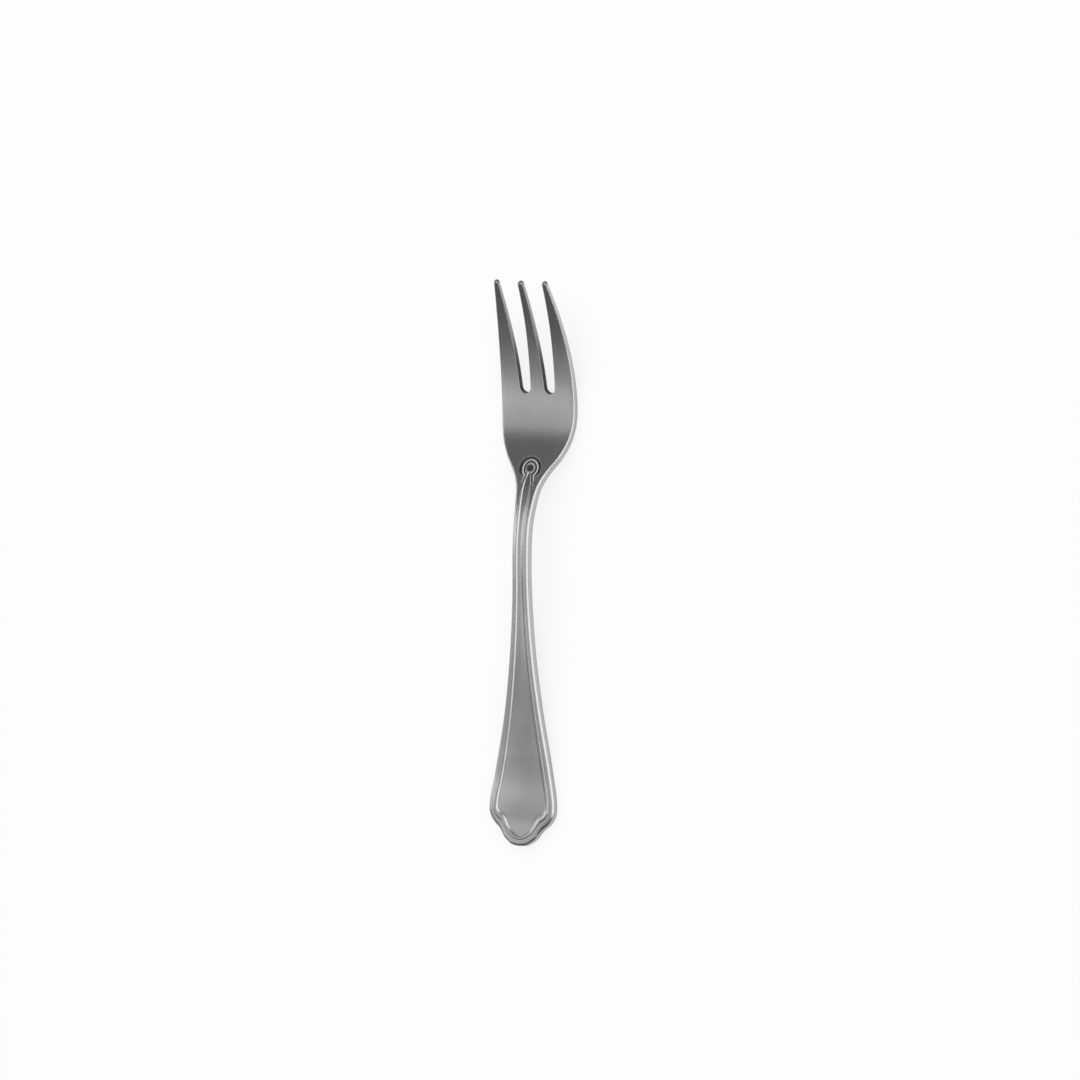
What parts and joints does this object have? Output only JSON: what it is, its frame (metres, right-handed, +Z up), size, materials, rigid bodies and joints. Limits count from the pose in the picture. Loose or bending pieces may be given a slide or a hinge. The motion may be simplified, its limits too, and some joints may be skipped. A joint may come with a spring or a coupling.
{
  "type": "cake fork",
  "caption": "Small steel cake fork with a shallow bowl, slim arched stem, and a broad handle with a raised border and lobed end.",
  "frame": {"origin": "on the table plane, under the middle of the fork's length and width", "axes": "+Y along the fork to the tine tips, +Z up with the fork lying on its back, +X across to the right"},
  "size_m": [0.0224, 0.15, 0.0149],
  "materials": {
    "steel": "satin, fine crosswise and lengthwise brushing"
  },
  "bodies": {
    "root": {"fork": "steel"}
  },
  "joints": []
}
